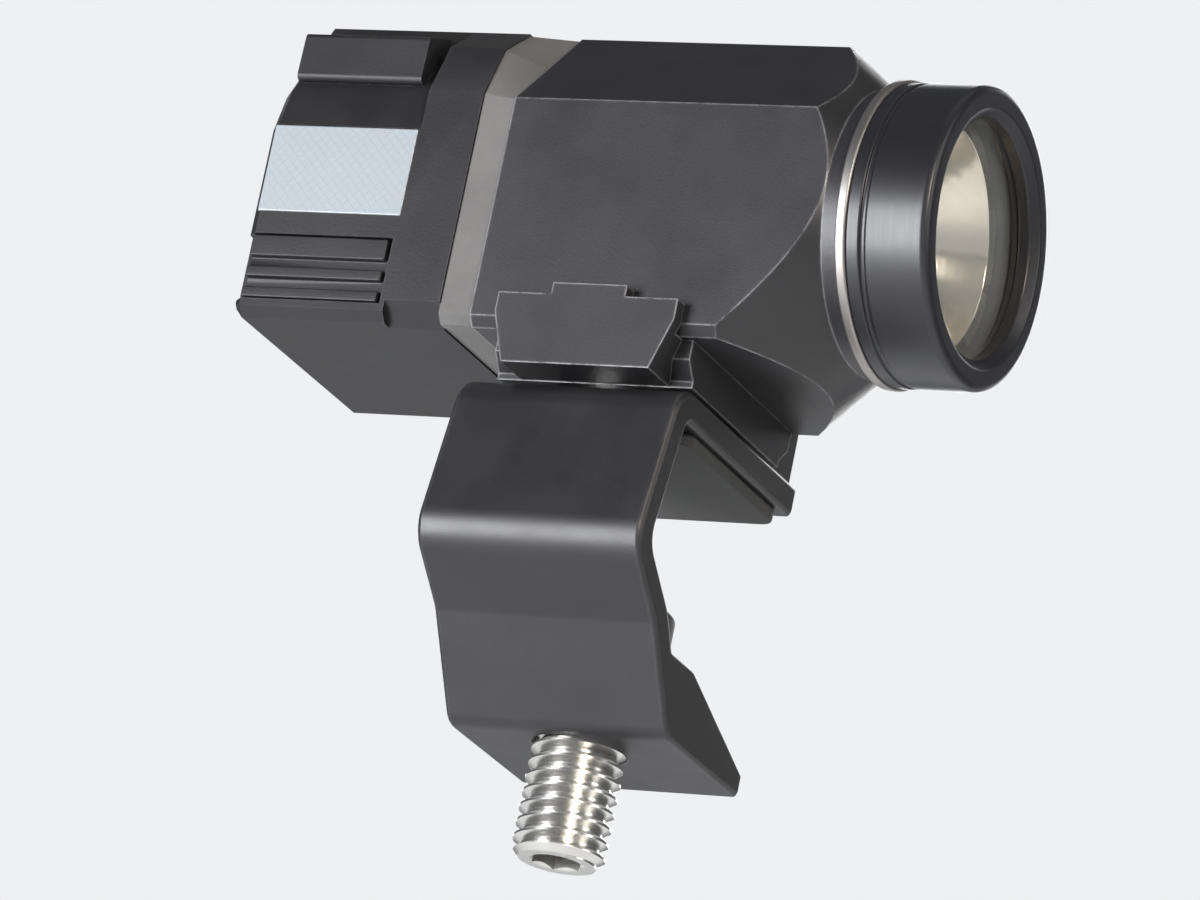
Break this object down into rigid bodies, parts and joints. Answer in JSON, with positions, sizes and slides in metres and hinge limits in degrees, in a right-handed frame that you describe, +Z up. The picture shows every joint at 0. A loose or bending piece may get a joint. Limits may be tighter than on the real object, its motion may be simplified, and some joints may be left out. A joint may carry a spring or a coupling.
{
  "type": "helmet flashlight with brim clamp",
  "caption": "Compact helmet flashlight with a round head and hinged tail cover, swivelling on a C-shaped clamp that a hex socket screw tightens on a helmet brim.",
  "frame": {"origin": "centre of the brim seat, the underside of the bracket's upper pad, on the swivel axis", "axes": "+X along the beam, +Z up from the brim to the lamp, -Y towards the bracket's web"},
  "size_m": [0.0885, 0.0452, 0.1],
  "materials": {
    "anodised_black": "satin black anodised",
    "bezel_black": "glossy black anodised",
    "ring_silver": "bright",
    "polymer_black": "moulded, fine texture",
    "gasket_grey": "matt",
    "marker_pale": "retroreflective sheet",
    "lens_clear": "clear, coated",
    "reflector_silver": "vacuum metallised",
    "stainless": "machined",
    "spring_steel": "plated",
    "pad_rubber": "matt",
    "seal_rubber": "matt",
    "heat_sink_metal": "machined",
    "circuit_green": "solder resist",
    "emitter_yellow": "phosphor",
    "contact_brass": "plated",
    "cell_wrap": "shrink film",
    "holder_grey": "moulded"
  },
  "bodies": {
    "bracket": {"brim_bracket": "anodised_black", "upper_brim_pad": "pad_rubber", "swivel_washer": "stainless"},
    "pressure_foot": {"pressure_pad": "pad_rubber"},
    "brim_screw": {"brim_screw": "stainless"},
    "lamp": {"rail_shoe": "anodised_black", "swivel_clip": "spring_steel", "lamp_body": "anodised_black", "bezel": "bezel_black", "bezel_ring": "ring_silver", "lens": "lens_clear", "lens_seal": "seal_rubber", "reflector": "reflector_silver", "led_board": "circuit_green", "led_emitter": "emitter_yellow", "heat_sink": "heat_sink_metal", "driver_board": "circuit_green", "battery_upper": "cell_wrap", "battery_lower": "cell_wrap", "front_contacts": "contact_brass", "cell_holder": "holder_grey", "tail_gasket": "gasket_grey", "hinge_pin": "stainless"},
    "clamp_jaw": {"clamp_jaw": "anodised_black", "jaw_guide_pins": "stainless"},
    "clamp_screw": {"clamp_screw": "anodised_black"},
    "tail_cover": {"tail_cover": "polymer_black", "marker_panel_right": "marker_pale", "marker_panel_left": "marker_pale", "contact_board": "circuit_green", "contact_springs": "spring_steel", "contact_screws": "stainless", "switch_body": "polymer_black", "rocker_pin": "stainless", "latch_pin": "stainless"},
    "cover_latch": {"cover_latch": "polymer_black"},
    "switch_rocker": {"switch_rocker": "pad_rubber"}
  },
  "joints": [
    {"name": "pressure_slide", "type": "slide", "parent": "bracket", "child": "pressure_foot", "axis": [0, 0, 1], "range_m": [-0.0035, 0.013]},
    {"name": "brim_screw_turn", "type": "hinge", "parent": "pressure_foot", "child": "brim_screw", "pos_m": [0, 0.002, -0.03], "axis": [0, 0, 1], "range_deg": [-700, 2600]},
    {"name": "lamp_swivel", "type": "hinge", "parent": "bracket", "child": "lamp", "pos_m": [0, 0, 0.0052], "axis": [0, 0, 1], "continuous": true},
    {"name": "jaw_slide", "type": "slide", "parent": "lamp", "child": "clamp_jaw", "axis": [0, -1, 0], "range_m": [0, 0.0025]},
    {"name": "clamp_screw_turn", "type": "hinge", "parent": "lamp", "child": "clamp_screw", "pos_m": [0, 0.019, 0.00945], "axis": [0, 1, 0], "range_deg": [0, 1300]},
    {"name": "cover_hinge", "type": "hinge", "parent": "lamp", "child": "tail_cover", "pos_m": [-0.0178, 0.0193, 0.0313], "axis": [0, 0, -1], "range_deg": [0, 100]},
    {"name": "latch_press", "type": "hinge", "parent": "tail_cover", "child": "cover_latch", "pos_m": [-0.0289, -0.0131, 0.0167], "axis": [0, 0, -1], "range_deg": [0, 8], "stiffness_Nm_per_rad": 0.3, "springref_deg": -8.59},
    {"name": "rocker_tilt", "type": "hinge", "parent": "tail_cover", "child": "switch_rocker", "pos_m": [-0.0461, 0, 0.0313], "axis": [0, 1, 0], "range_deg": [-9, 9], "stiffness_Nm_per_rad": 0.08}
  ],
  "couplings": [
    {"joint": "brim_screw_turn", "follows": "pressure_slide", "rad_per_m": 3463.7},
    {"joint": "clamp_screw_turn", "follows": "jaw_slide", "rad_per_m": 8976}
  ]
}
